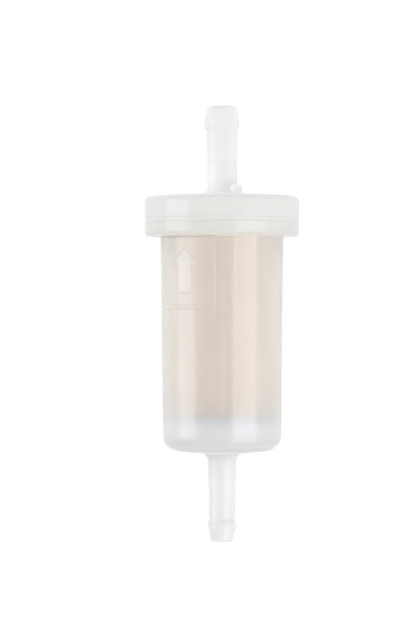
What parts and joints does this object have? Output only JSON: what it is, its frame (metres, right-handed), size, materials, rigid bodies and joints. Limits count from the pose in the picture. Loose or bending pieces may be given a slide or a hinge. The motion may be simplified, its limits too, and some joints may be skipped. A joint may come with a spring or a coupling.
{
  "type": "inline fuel filter",
  "caption": "Inline fuel filter: milky plastic bowl and cap joined at a collar, barbed hose nozzle at each end, pleated paper element sealed inside.",
  "frame": {"origin": "on the flow axis, at the middle of the inlet nozzle's barb crest, where a hose holds the filter", "axes": "+Z along the flow, from the inlet nozzle to the outlet nozzle; -Y is the front, and the flow arrow faces 36.7 degrees to the left of it"},
  "size_m": [0.0356, 0.0354, 0.1],
  "materials": {
    "milky_nylon": "milky, half clear, smooth moulded gloss",
    "weld_nylon": "set melt, slightly denser than the shells",
    "plate_plastic": "plain moulded, matt",
    "blue_grey_plastic": "plain moulded, matt",
    "filter_paper": "resin-treated crepe paper, folded",
    "set_adhesive": "set adhesive, slightly soft edges",
    "seal_rubber": "moulded fuel-proof rubber, matt"
  },
  "bodies": {
    "root": {"bowl": "milky_nylon", "cap": "milky_nylon", "weld_ring": "weld_nylon", "outlet_end_plate": "plate_plastic", "outlet_end_adhesive": "set_adhesive", "pleated_media": "filter_paper", "media_seam": "set_adhesive", "core_tube": "plate_plastic", "closed_end_adhesive": "set_adhesive", "closed_end_plate": "blue_grey_plastic", "neck_seal": "seal_rubber"}
  },
  "joints": []
}
